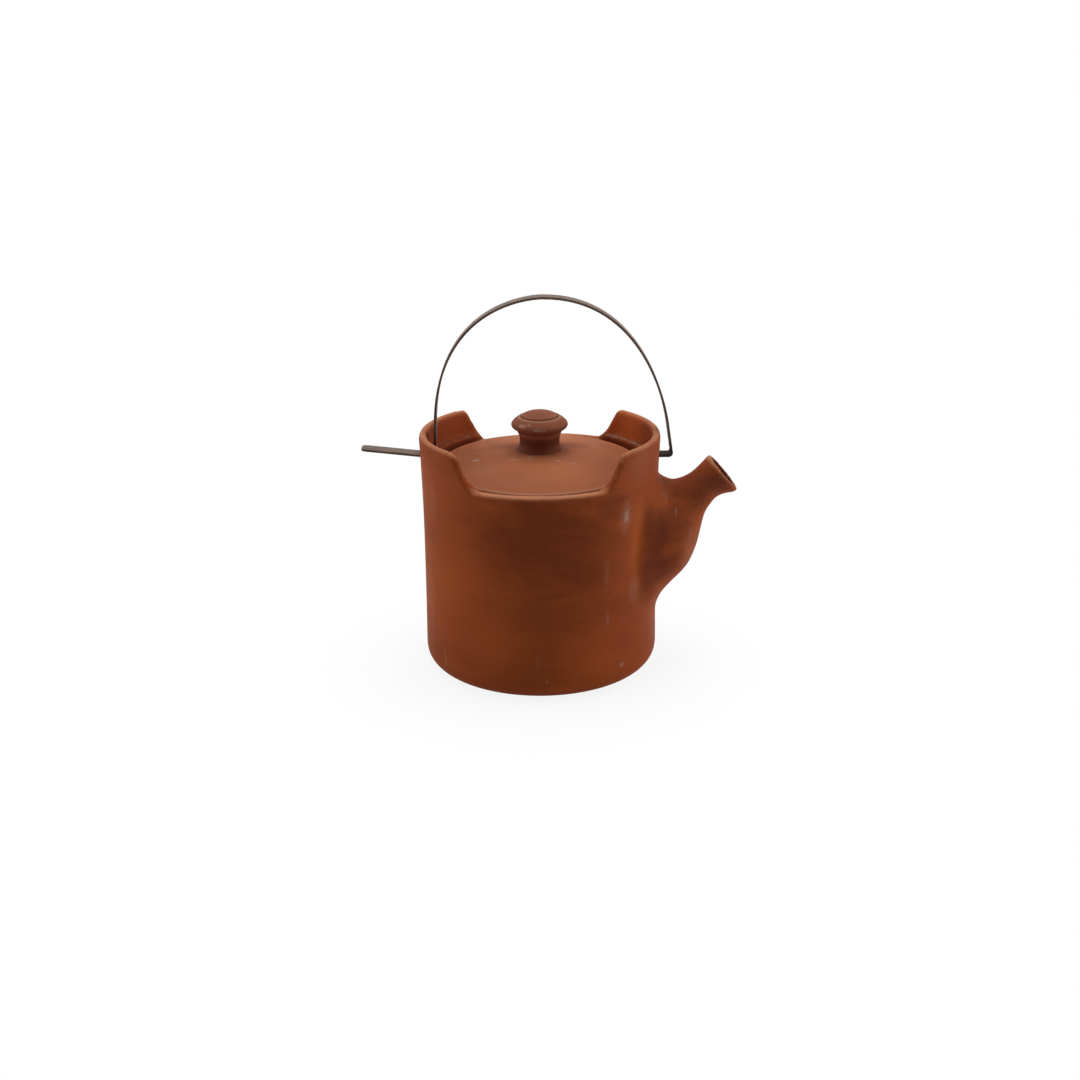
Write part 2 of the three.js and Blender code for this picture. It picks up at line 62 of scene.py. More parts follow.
bpy.ops.object.camera_add(location=CAMERA_PLACE)
camera = bpy.context.object
camera.name = "photo_camera"
camera.data.sensor_width = SENSOR_WIDTH
camera.data.lens = LENS
level = Matrix.Rotation(math.pi / 2 - CAMERA_DOWN, 4, "X")
camera.matrix_world = Matrix.Translation(CAMERA_PLACE) @ level @ Matrix.Rotation(CAMERA_ROLL, 4, "Z")
bpy.context.scene.camera = camera
print("camera looks along", [round(part, 3) for part in camera.matrix_world.to_3x3() @ Vector((0, 0, -1))])

# %% [markdown]
# ## Materials as sums
# A procedural material is a sum of many small patterns. Wiring each node by hand hides the sum, so this small
# class wraps a socket: `+`, `-`, `*` and `**` on it add the Math nodes, and `add` makes any other node.

# %% Write node sums as Python


class Wire:
    """One value on its way through a material."""

    def __init__(self, tree, socket):
        self.tree, self.socket = tree, socket

    def add(self, kind, settings=None, inputs=None, output=0):
        """A node of this kind: its settings first, then the values or wires of its sockets."""
        made = self.tree.nodes.new("ShaderNode" + kind)
        for name, value in (settings or {}).items():
            setattr(made, name, value)
        for key, value in (inputs or {}).items():
            if isinstance(value, Wire):
                self.tree.links.new(value.socket, made.inputs[key])
            else:
                made.inputs[key].default_value = value
        return Wire(self.tree, made.outputs[output])

    def math(self, operation, *values):
        return self.add("Math", {"operation": operation}, dict(enumerate(values)))

    def __add__(self, other):
        return self.math("ADD", self, other)

    __radd__ = __add__

    def __mul__(self, other):
        return self.math("MULTIPLY", self, other)

    __rmul__ = __mul__

    def __sub__(self, other):
        return self.math("SUBTRACT", self, other)

    def __rsub__(self, other):
        return self.math("SUBTRACT", other, self)

    def __pow__(self, other):
        return self.math("POWER", self, other)

    def least(self, other):
        """The smaller of this wire and another value."""
        return self.math("MINIMUM", self, other)

    def rise(self, low, high):
        """0 below low and 1 above high, with a soft step between them. Give the higher first to turn it."""
        return self.add("MapRange", {"interpolation_type": "SMOOTHSTEP"},
                        {"Value": self, "From Min": low, "From Max": high})

    def noise(self, scale, detail=2.0, roughness=0.5):
        return self.add("TexNoise", {}, {"Vector": self, "Scale": scale, "Detail": detail,
                                         "Roughness": roughness})

    def vector(self, operation, other, output=0):
        return self.add("VectorMath", {"operation": operation}, {0: self, 1: other}, output)

    def blend(self, low, high, how="MIX"):
        """The colour between low and high that this wire, from 0 to 1, names."""
        return self.add("Mix", {"data_type": "RGBA", "blend_type": how}, {0: self, 6: low, 7: high}, 2)


def colour(red, green, blue):
    """A colour as a picture program writes it, 0 to 255, turned into the light that Blender adds up."""
    shares = [part / 255 for part in (red, green, blue)]
    return (*[part / 12.92 if part < 0.04045 else ((part + 0.055) / 1.055) ** 2.4 for part in shares], 1)


def new_material(name):
    """A material with one Principled shader, and the place on the piece as a wire, in millimetres."""
    material = bpy.data.materials.new(name)
    material.use_nodes = True
    tree = material.node_tree
    shader = tree.nodes["Principled BSDF"]
    start = Wire(tree, None)
    place = start.add("TexCoord", {}, {}, 3)
    millimetres = start.add("VectorMath", {"operation": "SCALE"}, {0: place, 3: 1 / MM})
    return material, shader, millimetres


def wire_to(shader, **sockets):
    """Joins each wire to the shader's socket of that name."""
    for name, wire in sockets.items():
        socket = shader.inputs[name.replace("_", " ")]
        wire.tree.links.new(wire.socket, socket)


print("a mid brown is", [round(part, 3) for part in colour(128, 80, 50)])

# %% [markdown]
# ## Floor and background
# The pot was photographed on white and cut out. A floor that is lit to pure white would need so much light
# that the clay bleaches. Instead the camera is shown white wherever it sees the floor's own light, and the
# floor keeps a share of its real shading, so that the pot still stands in a faint shadow.

# %% Lay the floor
FLOOR_SIZE = 6
FLOOR_GREY = 0.92
FLOOR_SHADE_SHARE = 0.12
SHADE_FULL_WITHIN = 0.06
SHADE_GONE_BEYOND = 0.14


def shows_white(wires):
    """1 where a ray comes from the camera, a mirror or through glass, and 0 where it only carries light."""
    path = wires.tree.nodes.new("ShaderNodeLightPath")
    rays = [Wire(wires.tree, path.outputs[kind]) for kind in (
        "Is Camera Ray", "Is Glossy Ray", "Is Transmission Ray")]
    return rays[0].math("MAXIMUM", rays[0], rays[1].math("MAXIMUM", rays[1], rays[2]))


bpy.ops.object.select_all(action="DESELECT")
bpy.ops.mesh.primitive_plane_add(size=FLOOR_SIZE)
floor = bpy.context.object
floor.name = "studio_floor"
floor_material = bpy.data.materials.new("pale_floor")
floor_material.use_nodes = True
tree = floor_material.node_tree
floor_paint = tree.nodes["Principled BSDF"]
floor_paint.inputs["Base Color"].default_value = (FLOOR_GREY, FLOOR_GREY, FLOOR_GREY, 1)
floor_paint.inputs["Roughness"].default_value = 0.9
floor_paint.inputs["Specular IOR Level"].default_value = 0.1
wires = Wire(tree, None)
white_light = wires.add("Emission", {}, {"Color": (1, 1, 1, 1), "Strength": 1.0})
seen = shows_white(wires)
spot = wires.add("TexCoord", {}, {}, 3)
far = spot.vector("LENGTH", (0, 0, 0), 1).rise(SHADE_FULL_WITHIN, SHADE_GONE_BEYOND)
share = seen * (far * FLOOR_SHADE_SHARE + (1 - FLOOR_SHADE_SHARE))
lit = wires.add("MixShader", {}, {0: share, 1: Wire(tree, floor_paint.outputs[0]), 2: white_light})
tree.links.new(lit.socket, tree.nodes["Material Output"].inputs["Surface"])
floor.data.materials.append(floor_material)
print("floor", FLOOR_SIZE, "m wide, with", FLOOR_SHADE_SHARE, "of its shading shown far from the pot")

# %% Show white behind the pot, and give the room its plain grey light
FRONT_DARK = 0.03
BACK_LIGHT = 0.5
DARK_UNTIL = -0.4
LIGHT_FROM = 0.8

world = bpy.data.worlds.new("studio_world")
bpy.context.scene.world = world
world.use_nodes = True
tree = world.node_tree
wires = Wire(tree, None)
direction = wires.add("TexCoord", {}, {}, 0)
along = wires.add("SeparateXYZ", {}, {0: direction}, 1)
room = along.rise(DARK_UNTIL, LIGHT_FROM) * (BACK_LIGHT - FRONT_DARK) + FRONT_DARK
strength = shows_white(wires) * (1 - room) + room
tree.nodes["Background"].inputs["Color"].default_value = (1, 1, 1, 1)
tree.links.new(strength.socket, tree.nodes["Background"].inputs["Strength"])
bpy.context.scene.view_settings.view_transform = "Standard"
print("room light from", FRONT_DARK, "in front to", BACK_LIGHT, "behind")

# %% [markdown]
# ## Light
# The photograph is lit softly from above and from both sides: the lid is the palest part, the sides of the
# wall are warm, and the front of the wall is in half shade. Three large area lamps do that. Their size keeps
# the shadows soft, and a lamp in front is left out so that the middle of the wall stays dark.

# %% Hang the lamps


def hang_lamp(name, place, aim, size, watts):
    """A square area lamp that shines from its place to the point it is aimed at, all in metres."""
    bpy.ops.object.light_add(type="AREA", location=place)
    lamp = bpy.context.object
    lamp.name = name
    lamp.data.size = size
    lamp.data.energy = watts
    lamp.rotation_euler = (Vector(aim) - Vector(place)).to_track_quat("-Z", "Y").to_euler()
    return lamp


hang_lamp("lamp_above", (0, 0.1, 1.1), (0, 0, 0.1), 0.8, 8)
hang_lamp("lamp_left", (-0.95, 0.12, 0.36), (0, 0, 0.08), 0.6, 3.4)
hang_lamp("lamp_right", (0.95, 0.12, 0.36), (0, 0, 0.08), 0.6, 4.5)

# %% [markdown]
# ## Tools for turning clay
# Thrown pots are turned, so most pieces here start as half a section that is spun once round the pot's axis.
# The section is drawn as by hand: one point, extruded from place to place. Corners are eased before the
# drawing starts, because a potter's sponge leaves none sharp.

# %% Ease the corners of a section
EASE_STEPS = 6


def eased(corners):
    """Section points from rows of (radius, height, ease), in mm: an ease above 0 rounds that corner."""
    points = []
    for index, (radius, height, ease) in enumerate(corners):
        here = Vector((radius, height))
        if not ease:
            points.append(here)
            continue
        before, after = [(Vector(corners[index + step][:2]) - here).normalized() for step in (-1, 1)]
        half = before.angle(after) / 2
        centre = here + (before + after).normalized() * ease / math.sin(half)
        start = here + before * ease / math.tan(half) - centre
        end = here + after * ease / math.tan(half) - centre
        turns = [start.slerp(end, step / EASE_STEPS).normalized() for step in range(EASE_STEPS + 1)]
        points += [centre + turn * ease for turn in turns]
    return points


print("a square corner eased by 2 mm has", len(eased([(0, 0, 0), (5, 0, 2), (5, 5, 0)])) - 2, "points")

# %% Draw a section and spin it


def alone(piece):
    """Selects only this piece and makes it the active one."""
    bpy.ops.object.select_all(action="DESELECT")
    piece.select_set(True)
    bpy.context.view_layer.objects.active = piece


def turned(name, points, steps=128):
    """Draws half a section of (radius, height) points, in mm, and spins it round the pot's axis."""
    bpy.ops.object.select_all(action="DESELECT")
    bpy.ops.mesh.primitive_plane_add(size=MM, enter_editmode=True)
    bpy.ops.mesh.select_all(action="SELECT")
    bpy.ops.mesh.merge(type="CENTER")
    places = [Vector((radius, 0, height)) * MM for radius, height in points]
    bpy.ops.transform.translate(value=places[0])
    for before, after in zip(places, places[1:]):
        bpy.ops.mesh.extrude_vertices_move(TRANSFORM_OT_translate={"value": after - before})
    bpy.ops.mesh.select_all(action="SELECT")
    bpy.ops.mesh.spin(steps=steps, angle=2 * math.pi, center=(0, 0, 0), axis=(0, 0, 1))
    bpy.ops.mesh.select_all(action="SELECT")
    bpy.ops.mesh.remove_doubles(threshold=MM / 1000)
    bpy.ops.mesh.normals_make_consistent(inside=False)
    bpy.ops.object.mode_set(mode="OBJECT")
    piece = bpy.context.object
    piece.name = piece.data.name = name
    return piece


# %% Apply a modifier, and cut one solid with another


def apply_modifier(piece, kind, **settings):
    """Adds a modifier, sets it and applies it at once."""
    alone(piece)
    modifier = piece.modifiers.new(kind.lower(), kind)
    for name, value in settings.items():
        setattr(modifier, name, value)
    bpy.ops.object.modifier_apply(modifier=modifier.name)


def cut(piece, *cutters, how="DIFFERENCE"):
    """Takes the cutters out of the piece, or adds them to it, and throws the cutters away."""
    for cutter in cutters:
        apply_modifier(piece, "BOOLEAN", operation=how, solver="MANIFOLD", object=cutter)
        bpy.data.objects.remove(cutter)


# %% [markdown]
# ## The pot's wall
# The real pot is thrown as a plain cylinder with a slight waist, and then cut. It could be lofted ring by
# ring with the notches built in, but the order of the workshop is easier to follow: turn a solid block of
# clay to the outside shape, turn the hollow as a second block, and take one out of the other.

# %% Turn the outside of the pot
LUG_TOP = 131.0
WAIST_HEIGHT = 74.4
WAIST_RADIUS = 63.7
WIDER_AT_TOP = 1.3
WIDER_AT_FOOT = 0.7
FOOT_ROUND = 10
LIP_ROUND = 2.3


def wall_radius(height):
    """Outer radius of the pot's wall, in mm: least at the waist, a little more at the foot and the top."""
    if height > WAIST_HEIGHT:
        return WAIST_RADIUS + WIDER_AT_TOP * ((height - WAIST_HEIGHT) / (LUG_TOP - WAIST_HEIGHT)) ** 2
    return WAIST_RADIUS + WIDER_AT_FOOT * (1 - height / WAIST_HEIGHT) ** 2


outside = [(0, 0, 0), (wall_radius(FOOT_ROUND), 0, FOOT_ROUND)]
outside += [(wall_radius(height), height, 0) for height in range(14, 126, 8)]
outside += [(wall_radius(LUG_TOP), LUG_TOP, LIP_ROUND), (0, LUG_TOP, 0)]
pot = turned("pot_with_spout", eased(outside))
pot_blank = pot.copy()
pot_blank.data = pot.data.copy()
bpy.context.scene.collection.objects.link(pot_blank)
print("block of clay:", len(pot.data.polygons), "faces")

# %% Turn the hollow: floor, wall, seat, shelf and the inside of the lugs
SHELF = 115.7
SEAT = 108.5
HOLLOW_RADIUS = 57.5
ABOVE = 140
hollow = turned("hollow", eased([
    (0, 7, 0), (HOLLOW_RADIUS, 7, 9), (HOLLOW_RADIUS, 97.3, 3), (49.4, 104.3, 1), (49.4, SEAT, 1),
    (58.2, SEAT, 0.8), (58.2, SHELF, 0.4), (59.9, SHELF, 0.7), (60.4, LUG_TOP - 2 * LIP_ROUND, 0),
    (60.45, LUG_TOP - LIP_ROUND, 0), (60.7, LUG_TOP - 1.4, 0), (61.2, LUG_TOP - 0.7, 0),
    (62.2, LUG_TOP, 0), (62.2, ABOVE, 0), (0, ABOVE, 0)]))
print("hollow:", len(hollow.data.polygons), "faces")

# %% [markdown]
# ## The spout
# The spout is thrown on its own as a wide bulb, pulled to a short neck and luted to the wall. It is a row of
# round cross-sections: each circle stands between a point on the upper edge and one on the lower edge of the
# side view, and the circles are bridged one to the next. Near the wall their upper half is squarer.

# %% Measure the spout's side view
# Each row: upper edge x and z, lower edge x and z in mm, and how square the upper half is (2 is round)
SPOUT_SECTIONS = [
    (61.99, 107.88, 61.99, 29.40, 2.6),
    (64.56, 105.72, 64.13, 33.00, 2.6),
    (66.05, 103.56, 66.91, 39.12, 2.6),
    (68.19, 102.41, 72.26, 45.24, 2.5),
    (71.70, 101.33, 80.69, 54.17, 2.3),
    (74.01, 101.90, 85.61, 65.18, 2.1),
    (77.01, 102.98, 88.10, 75.62, 2.0),
    (80.09, 104.57, 89.89, 83.18, 2.0),
    (83.22, 106.80, 92.50, 88.08, 2.0),
    (86.08, 109.61, 96.31, 92.83, 2.0),
    (88.78, 112.56, 101.24, 94.99, 2.0),
    (90.55, 114.35, 104.95, 95.55, 2.0),
]
SPOUT_STEPS = 24


def section_at(share):
    """The row of SPOUT_SECTIONS at a share of the way along, on a smooth curve through all of them."""
    last = len(SPOUT_SECTIONS) - 1
    index = min(int(share * last), last - 1)
    part = share * last - index
    rows = [SPOUT_SECTIONS[min(max(index + step, 0), last)] for step in (-1, 0, 1, 2)]
    return [
        0.5 * (2 * b + (c - a) * part + (2 * a - 5 * b + 4 * c - d) * part ** 2
               + (3 * b - a - 3 * c + d) * part ** 3)
        for a, b, c, d in zip(*rows)]


print("half way along the spout:", [round(value, 1) for value in section_at(0.5)])

# %% Bridge the circles
CIRCLE_POINTS = 48
INTO_WALL = 9


def spout_ring(share, wall=0.0, outward=0.0, lower=0.0):
    """One cross-section as points in mm, drawn in by a wall's thickness and moved out along the spout.

    Near the pot its sides fall back with the round wall. Its lower side can be moved out further than its
    upper side."""
    upper_x, upper_z, lower_x, lower_z, squareness = section_at(share)
    middle = Vector((upper_x + lower_x, 0, upper_z + lower_z)) / 2
    rise = Vector((upper_x - lower_x, 0, upper_z - lower_z)) / 2
    up = rise.normalized()
    out = Vector((up.z, 0, -up.x))
    ring = []
    for number in range(CIRCLE_POINTS):
        angle = 2 * math.pi * number / CIRCLE_POINTS
        power = 2 / (squareness if math.sin(angle) > 0 else 2)
        across, high = [
            math.copysign(abs(part) ** power, part) * (rise.length - wall)
            for part in (math.cos(angle), math.sin(angle))]
        further = lower * (1 - math.sin(angle)) / 2
        point = middle + Vector((0, across, 0)) + up * high + out * (outward + further)
        fall_back = WAIST_RADIUS - math.sqrt(WAIST_RADIUS ** 2 - point.y ** 2)
        point.x -= fall_back * (1 - share) ** 3
        ring.append(point)
    return ring


def lofted(name, rings):
    """Adds a circle for each ring, moves its points into place, bridges the rings and closes both ends."""
    bpy.ops.object.select_all(action="DESELECT")
    for number in range(len(rings)):
        bpy.ops.mesh.primitive_circle_add(vertices=CIRCLE_POINTS, radius=MM)
        if not number:
            bpy.ops.object.mode_set(mode="EDIT")
    piece = bpy.context.object
    shape = bmesh.from_edit_mesh(piece.data)
    shape.verts.ensure_lookup_table()
    for vertex, point in zip(shape.verts, [point for ring in rings for point in ring]):
        vertex.co = point * MM
    shape.normal_update()
    last = len(rings) - 1
    for one, other in [(0, 0), *zip(range(last), range(1, last + 1)), (last, last)]:
        bpy.ops.mesh.select_all(action="DESELECT")
        shape = bmesh.from_edit_mesh(piece.data)
        shape.verts.ensure_lookup_table()
        for number in {one, other}:
            for vertex in shape.verts[number * CIRCLE_POINTS:(number + 1) * CIRCLE_POINTS]:
                vertex.select = True
        shape.select_flush_mode()
        bmesh.update_edit_mesh(piece.data)
        if one == other:
            bpy.ops.mesh.edge_face_add()
        else:
            bpy.ops.mesh.bridge_edge_loops()
    bpy.ops.mesh.select_all(action="SELECT")
    bpy.ops.mesh.normals_make_consistent(inside=False)
    bpy.ops.object.mode_set(mode="OBJECT")
    piece.name = piece.data.name = name
    return piece


shares = [step / SPOUT_STEPS for step in range(SPOUT_STEPS + 1)]
into_wall = [point - Vector((INTO_WALL, 0, 0)) for point in spout_ring(0)]
lip = [spout_ring(1, -0.3, 0.6), spout_ring(1, -0.45, 1.2, 0.5), spout_ring(1, -0.15, 1.8, 1.0),
       spout_ring(1, 0.7, 2.1, 1.3)]
spout = lofted("spout_block", [into_wall] + [spout_ring(share) for share in shares] + lip)
print("spout block:", len(spout.data.polygons), "faces")

# %% Make the channel inside it, from the pot's wall to the mouth
WALL_AT_POT = 5
WALL_AT_LIP = 2.8

behind = [point - Vector((INTO_WALL, 0, 0)) for point in spout_ring(0, WALL_AT_POT)]
walls = [WALL_AT_POT + (WALL_AT_LIP - WALL_AT_POT) * share for share in shares]
mouth = [spout_ring(1, 2.6, 1.0), spout_ring(1, 2.2, 2.1, 1.3), spout_ring(1, 2.2, 5)]
channel = lofted("channel", [behind] + [spout_ring(*pair) for pair in zip(shares, walls)] + mouth)
cut(channel, pot_blank)
cut(pot, spout, how="UNION")
cut(pot, hollow, channel)
print("pot with its spout:", len(pot.data.polygons), "faces")

# %% [markdown]
# ## Notches and holes
# Two wide notches, front and back, leave the lugs that carry the handle. The potter cuts them with a wire
# that points at the middle of the pot, so a wedge makes them here: a block that narrows towards the axis and
# widens upwards. The back one dips a little to one side, as on the real pot. Round cutters make the handle's
# two holes and the strainer's seven.

# %% Cut the notches
NOTCH_FLOOR = 112.9
NOTCH_FLOOR_ANGLE = 33.4
NOTCH_WIDENING = 0.55
NOTCH_NEAR = 38
NOTCH_FAR = 78
FRONT_CORNER = 3.6
BACK_CORNER = 1.6
FRONT_TURN = -0.5
FRONT_LOWER = 0.5
FRONT_SKEW = 0.45
SKEW_FROM = 51
BACK_TURN = -1.3
BACK_DIP = 1.5
BACK_LOWER = 0.8


def half_width(height, reach):
    """Half the wedge's width in mm at a height, and at a reach from the pot's axis."""
    angle = NOTCH_FLOOR_ANGLE + NOTCH_WIDENING * (height - NOTCH_FLOOR)
    return reach * math.tan(math.radians(angle))


def notch_wedge(turn, corner, lower, dip=0, skew=0):
    """A cube whose eight corners are moved to the wedge's, with its two lower side edges rounded.

    Skew widens the left side's cut for every mm further out than SKEW_FROM."""
    bpy.ops.object.select_all(action="DESELECT")
    bpy.ops.mesh.primitive_cube_add(size=2, enter_editmode=True)
    wedge = bpy.context.object
    shape = bmesh.from_edit_mesh(wedge.data)
    for vertex in shape.verts:
        side, reach, height = vertex.co
        reach = NOTCH_NEAR if reach < 0 else NOTCH_FAR
        height = NOTCH_FLOOR if height < 0 else ABOVE
        width = half_width(height, reach) + (skew * (reach - SKEW_FROM) if side < 0 else 0)
        vertex.co = Vector((side * width, -reach, height)) * MM
    shape.normal_update()
    bmesh.update_edit_mesh(wedge.data)
    bpy.ops.mesh.select_mode(type="EDGE")
    bpy.ops.mesh.select_all(action="DESELECT")
    shape = bmesh.from_edit_mesh(wedge.data)
    for edge in shape.edges:
        one, two = [vertex.co for vertex in edge.verts]
        if max(one.z, two.z) < (NOTCH_FLOOR + 1) * MM and abs(one.y - two.y) > MM:
            edge.select = True
    bmesh.update_edit_mesh(wedge.data)
    bpy.ops.mesh.bevel(offset=corner * MM, segments=5, offset_type="OFFSET")
    bpy.ops.mesh.select_mode(type="VERT")
    bpy.ops.mesh.select_all(action="SELECT")
    bpy.ops.mesh.normals_make_consistent(inside=False)
    bpy.ops.object.mode_set(mode="OBJECT")
    middle = Matrix.Translation((0, 0, NOTCH_FLOOR * MM))
    lowered = Matrix.Translation((0, 0, (NOTCH_FLOOR - lower) * MM))
    tilt = lowered @ Matrix.Rotation(math.radians(dip), 4, "Y") @ middle.inverted()
    wedge.data.transform(Matrix.Rotation(math.radians(turn), 4, "Z") @ tilt)
    return wedge


cut(pot, notch_wedge(FRONT_TURN, FRONT_CORNER, FRONT_LOWER, skew=FRONT_SKEW),
    notch_wedge(BACK_TURN + 180, BACK_CORNER, BACK_LOWER, BACK_DIP))
print("notched:", len(pot.data.polygons), "faces")

# %% Pierce the lugs and the strainer
PIVOT = 117.2
HANDLE_HOLE = 5.7
STRAINER_HOLE = 3
STRAINER_HEIGHT = 69
STRAINER_RING = 13


def round_cutter(x, y, z, radius, length):
    """A rod along X that cuts a hole through the wall."""
    bpy.ops.object.select_all(action="DESELECT")
    bpy.ops.mesh.primitive_cylinder_add(
        vertices=32, radius=radius * MM, depth=length * MM, location=Vector((x, y, z)) * MM,
        rotation=(0, math.pi / 2, 0))
    return bpy.context.object


cut(pot, *[round_cutter(x, 0, PIVOT, HANDLE_HOLE, 16) for x in (-62, 62)])
turns = [math.radians(degrees) for degrees in range(0, 360, 60)]
strainer = [(0, STRAINER_HEIGHT)] + [
    (STRAINER_RING * math.cos(turn), STRAINER_HEIGHT + STRAINER_RING * math.sin(turn)) for turn in turns]
cut(pot, *[round_cutter(58, y, z, STRAINER_HOLE, 22) for y, z in strainer])
print("pierced:", len(pot.data.polygons), "faces")

# %% [markdown]
# ## Wiping the clay smooth
# Wet clay has no seams: the spout's join is smeared into the wall and every cut edge is wiped round. A bevel
# fails on edges as tangled as these, so the whole pot is remeshed into small even squares, and then smoothing
# passes do what the potter's sponge did: a few over everything, more over the lips and the spout's join.

# %% Remesh into small even squares
GRAIN = 1.1
apply_modifier(pot, "REMESH", mode="VOXEL", voxel_size=GRAIN * MM, use_smooth_shade=True)
print("remeshed:", len(pot.data.polygons), "squares of", GRAIN, "mm")

# %% Make a sponge


def wipe(piece, passes, touched=lambda point: True, give=0.0):
    """Smooths the vertices whose place, in mm, is touched. With some give, each pass also springs back."""
    alone(piece)
    bpy.ops.object.mode_set(mode="EDIT")
    bpy.ops.mesh.select_all(action="DESELECT")
    shape = bmesh.from_edit_mesh(piece.data)
    for vertex in shape.verts:
        vertex.select = touched(vertex.co / MM)
    shape.select_flush_mode()
    bmesh.update_edit_mesh(piece.data)
    if give:
        for _ in range(passes):
            bpy.ops.mesh.vertices_smooth(factor=0.5)
            bpy.ops.mesh.vertices_smooth(factor=-give)
    else:
        bpy.ops.mesh.vertices_smooth(factor=0.5, repeat=passes)
    bpy.ops.object.mode_set(mode="OBJECT")


# %% Say which points are on the lips
LIP_FROM = 109
SLOPE_FROM = 114
TURN_AT_FLOOR = 33
TURN_PER_MM = 0.75
TURN_AT_TOP = 48


def on_lip(point):
    """On the rounded lips: the lug tops, and the notches' floors and slopes."""
    turn = abs(math.degrees(math.atan2(point.x, abs(point.y))))
    widest = min(TURN_AT_TOP, TURN_AT_FLOOR + TURN_PER_MM * (point.z - LIP_FROM))
    return point.z > LIP_FROM and turn < widest


def on_slope(point):
    """On the slopes from the notches up to the lugs, where the remesh leaves ripples."""
    return on_lip(point) and point.z > SLOPE_FROM


print("points on the lips:", sum(on_lip(v.co / MM) for v in pot.data.vertices))

# %% Say which points are on the spout's join
JOIN_CENTRE = 68.6
JOIN_NEAR = 31
JOIN_FAR = 48
JOIN_IN = -2.5
JOIN_OUT = 5
JOIN_FOOT = 52


def on_join(point):
    """On the wall or the spout, near the line where one meets the other."""
    reach = math.hypot(point.x, point.y)
    from_centre = math.hypot(point.y, point.z - JOIN_CENTRE)
    near_wall = JOIN_IN < reach - wall_radius(point.z) < JOIN_OUT
    return point.x > 0 and near_wall and JOIN_NEAR < from_centre < JOIN_FAR


def under_spout(point):
    """The lowest part of the join, where the potter's thumb has smeared it most."""
    return on_join(point) and point.z < JOIN_FOOT


print("points on the join:", sum(on_join(v.co / MM) for v in pot.data.vertices))

# %% Wipe
wipe(pot, 12, give=0.53)
wipe(pot, 2)
wipe(pot, 5, on_lip)
wipe(pot, 6, on_slope)
wipe(pot, 8, on_join)
wipe(pot, 24, under_spout)
for side, x, y in [("front", 0, -61), ("back", 0, 61), ("back left", -28, 54), ("back right", 28, 54),
                   ("left lug", -62.7, 0), ("right lug", 62.7, 0)]:
    around = [v.co.z for v in pot.data.vertices if math.hypot(v.co.x / MM - x, v.co.y / MM - y) < 4]
    print(side, "edge at", round(max(around) / MM, 2), "mm")

# %% Thin out the squares that nobody sees
KEPT_SHARE = 0.2
HIDDEN_BELOW = 103
WALL_LEAST = 3
BASE_BELOW = 0.5


def unseen(point):
    """Inside the pot below the seat, or under the base."""
    reach = math.hypot(point.x, point.y)
    inside_pot = reach < wall_radius(point.z) - WALL_LEAST and point.z < HIDDEN_BELOW
    return inside_pot or point.z < BASE_BELOW


hidden = pot.vertex_groups.new(name="unseen")
hidden.add([v.index for v in pot.data.vertices if unseen(v.co / MM)], 1, "REPLACE")
shown = sum(len(face.vertices) - 2 for face in pot.data.polygons
            if not all(unseen(pot.data.vertices[index].co / MM) for index in face.vertices))
total = 2 * len(pot.data.polygons)
apply_modifier(pot, "DECIMATE", ratio=(shown + KEPT_SHARE * (total - shown)) / total,
               vertex_group=hidden.name)
pot.vertex_groups.clear()
print("triangles before", total, "and after", sum(len(face.vertices) - 2 for face in pot.data.polygons))

# %% [markdown]
# ## The lid
# The lid is thrown too: a low dome with a soft edge, and below it a flange that keeps it on the seat. It is
# turned from one section, and near the knob the dome rises a little to meet the knob's foot. The real lid
# doesn't lie quite level. Its flange is hidden, so only what shows is tipped and sunk, in edit mode.

# %% Turn the lid
DOME_RADIUS = 186.25
DOME_TOP = 121.5
LID_RADIUS = 54.6
LID_THICKNESS = 5
FLANGE_INSIDE = 44.1
FLANGE_OUTSIDE = 48.1
FLANGE_FOOT = 104


def dome(radius):
    """Height of the lid's top at a radius, in mm."""
    return DOME_TOP - DOME_RADIUS + math.sqrt(DOME_RADIUS ** 2 - radius ** 2)


lid_section = [
    (0, 116.5, 0), (30, dome(30) - LID_THICKNESS, 0),
    (FLANGE_INSIDE, dome(FLANGE_INSIDE) - LID_THICKNESS, 1.5), (FLANGE_INSIDE, FLANGE_FOOT, 1.2),
    (FLANGE_OUTSIDE, FLANGE_FOOT, 1.2), (FLANGE_OUTSIDE, SEAT, 0.8),
    (LID_RADIUS, SEAT, 1.2), (LID_RADIUS, dome(LID_RADIUS) - 0.1, 1.6)]
lid_section += [(radius, dome(radius), 0) for radius in (50, 46, 42, 38, 34, 30, 26, 22, 19)]
lid_section += [(16.2, dome(16.2) + 0.05, 0), (14.8, dome(14.8) + 0.2, 0), (13.6, dome(13.6) + 0.5, 0)]
lid_section += [(12.6, 121.2, 0), (0, 121.2, 0)]
lid = turned("thrown_lid", eased(lid_section), 144)
apply_modifier(lid, "SUBSURF", levels=1, render_levels=1)
print("lid:", len(lid.data.polygons), "faces")

# %% Let it sit a little crooked
LID_LEAN = math.radians(1.4)
LID_SUNK = 0.8
LEAN_CENTRE = 112
LEAN_FROM = 110.4


